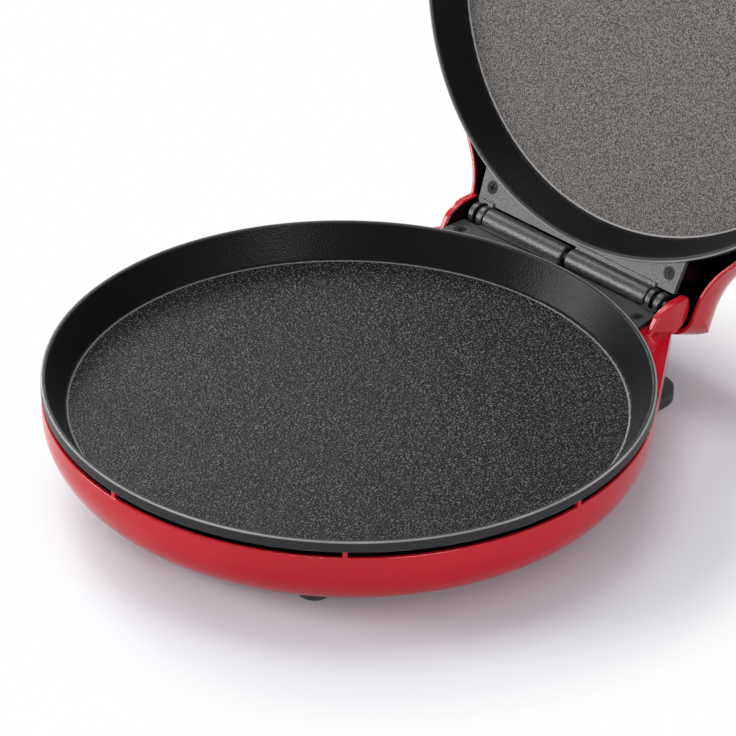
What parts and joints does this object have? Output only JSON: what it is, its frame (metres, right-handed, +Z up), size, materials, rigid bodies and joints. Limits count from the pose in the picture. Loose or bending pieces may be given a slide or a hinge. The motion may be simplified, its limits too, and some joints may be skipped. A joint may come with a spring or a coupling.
{
  "type": "electric pizza maker",
  "caption": "Round countertop cooker with shallow non-stick baking pans in red housings above and below, joined by a wide pinned hinge at the back, lid open past upright.",
  "frame": {"origin": "on the table, straight below the middle of the lower pan", "axes": "+Z up, +Y from the front to the hinge, +X to the right as seen from the front"},
  "size_m": [0.3312, 0.5165, 0.3907],
  "materials": {
    "red_plastic": "high gloss",
    "coated_aluminium": "dark non-stick coating, fine pebbled floor",
    "hinge_metal": "black, fine texture on the plates, satin barrels",
    "screw_steel": "black oxide",
    "element_steel": "heat tinted",
    "sheet_steel": "zinc plated",
    "foot_rubber": "matt",
    "black_plastic": "satin",
    "fuse_body": "bright",
    "lens_red": "clear, tinted red",
    "lens_green": "clear, tinted green",
    "lamp_glass": "clear"
  },
  "bodies": {
    "base": {"base_housing": "red_plastic", "front_feet": "foot_rubber", "rear_feet": "black_plastic", "rear_foot_screws": "screw_steel", "cord_gland": "black_plastic", "lower_pan": "coated_aluminium", "lower_heating_element": "element_steel", "lower_element_clamps": "sheet_steel", "lower_heat_shield": "sheet_steel", "lower_pan_screws": "screw_steel", "thermal_fuse": "fuse_body", "terminal_block": "black_plastic", "lower_hinge_leaf": "hinge_metal", "lower_leaf_screws": "screw_steel", "hinge_pin": "hinge_metal", "hinge_clips": "screw_steel"},
    "lid": {"lid_housing": "red_plastic", "upper_pan": "coated_aluminium", "upper_heating_element": "element_steel", "upper_element_clamps": "sheet_steel", "upper_heat_shield": "sheet_steel", "upper_shield_screws": "screw_steel", "thermostat": "black_plastic", "upper_hinge_leaf": "hinge_metal", "upper_leaf_screws": "screw_steel", "lid_front_bracket": "sheet_steel", "lid_handle": "black_plastic", "handle_screws": "screw_steel", "ready_lamp_lens": "lens_green", "power_lamp_lens": "lens_red", "neon_lamps": "lamp_glass", "lamp_holder": "black_plastic"}
  },
  "joints": [
    {"name": "lid_hinge", "type": "hinge", "parent": "base", "child": "lid", "pos_m": [0, 0.175, 0.05325], "axis": [1, 0, 0], "range_deg": [0, 113.2]}
  ]
}
